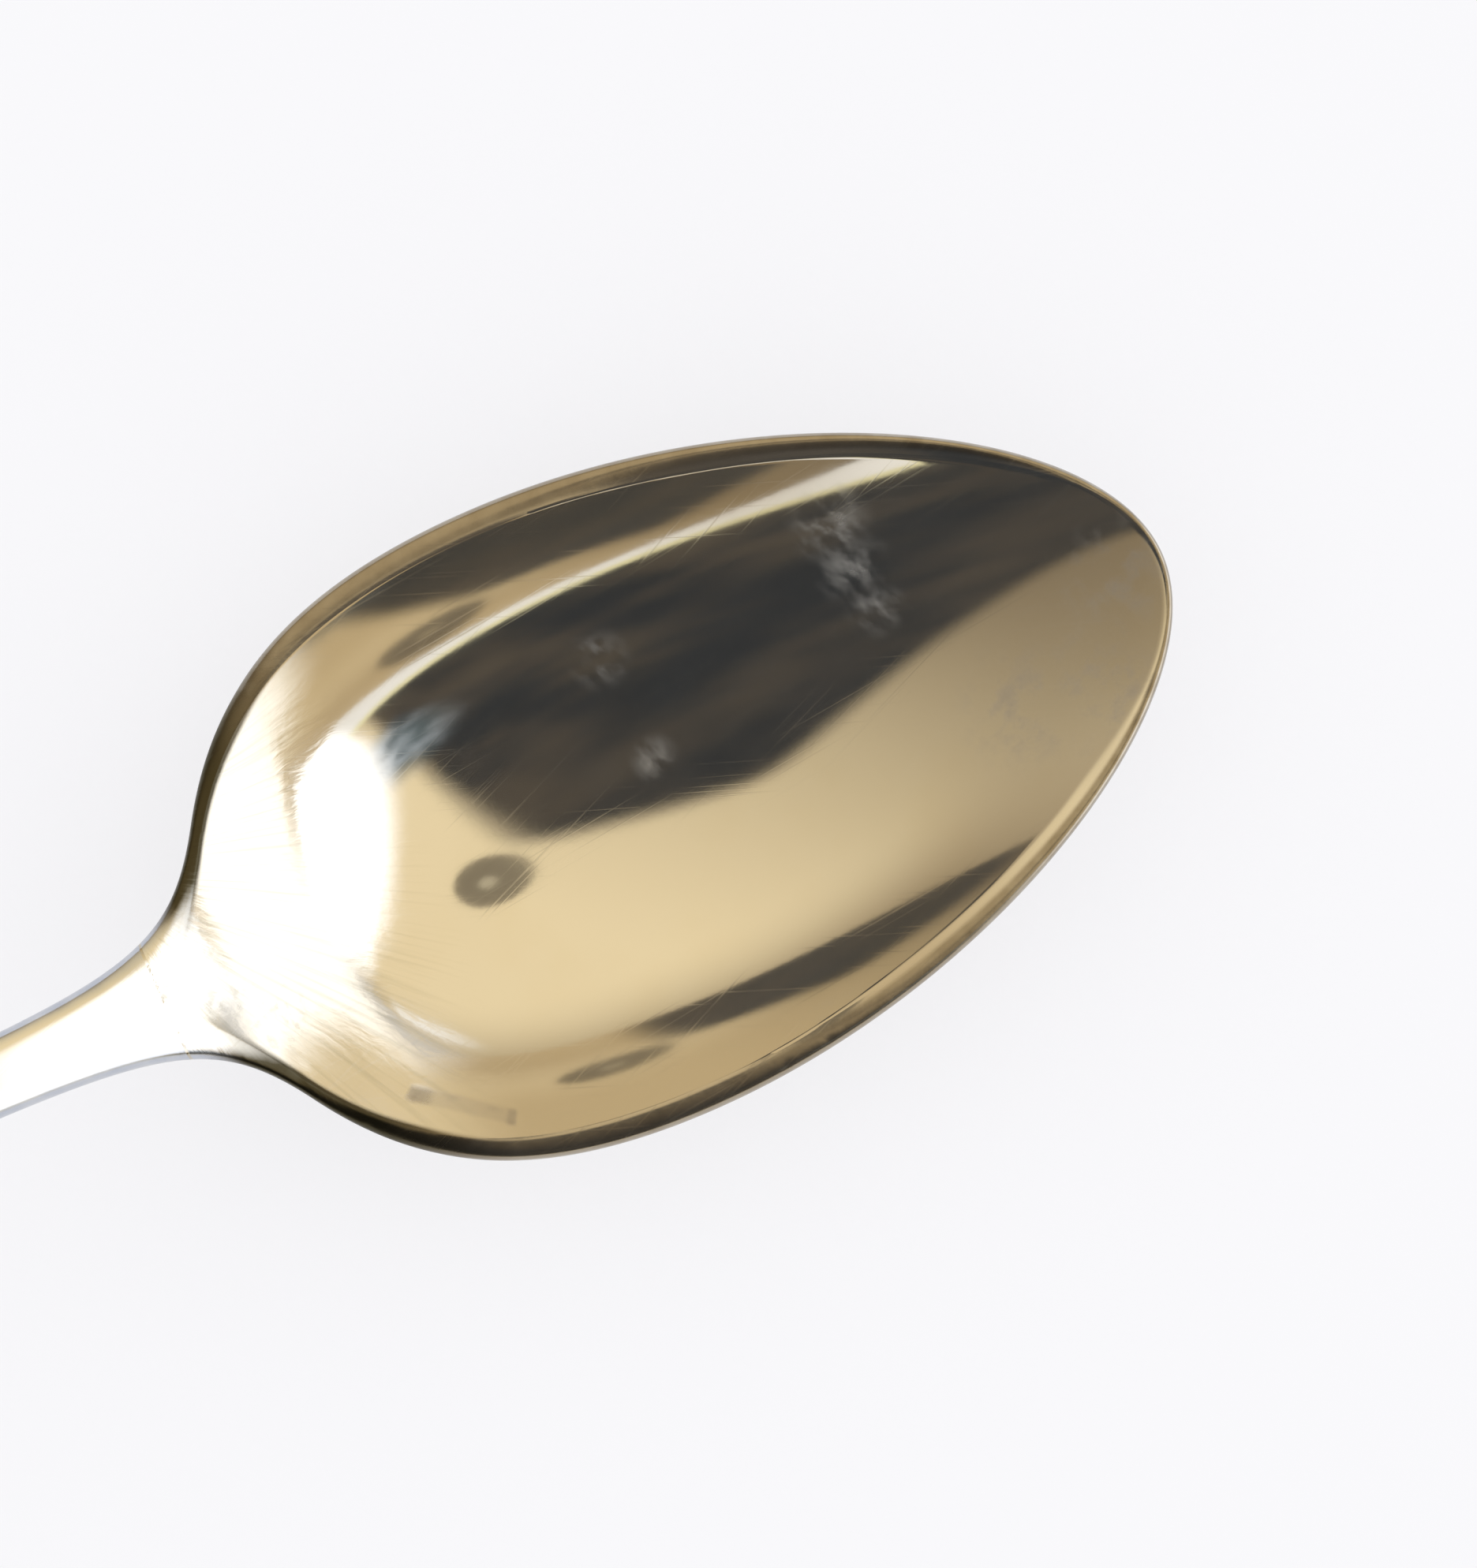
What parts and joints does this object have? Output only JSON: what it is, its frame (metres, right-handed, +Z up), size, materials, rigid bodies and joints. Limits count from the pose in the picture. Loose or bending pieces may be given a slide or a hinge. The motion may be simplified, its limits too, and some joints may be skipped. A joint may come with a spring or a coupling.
{
  "type": "teaspoon",
  "caption": "Polished silver teaspoon with an egg-shaped bowl, a drop-heeled soldered neck and a slim arched stem that widens to a rounded, down-turned end.",
  "frame": {"origin": "centre of the spoon's length and width, on the table it lies on", "axes": "+X along the spoon towards the tip of the bowl, +Z up out of the bowl, Y across"},
  "size_m": [0.138, 0.0292, 0.0202],
  "materials": {
    "silver": "polished silver with fine wear scratches",
    "solder": "dull pitted hard solder"
  },
  "bodies": {
    "root": {"bowl": "silver", "stem": "silver", "solder_seam": "solder"}
  },
  "joints": []
}
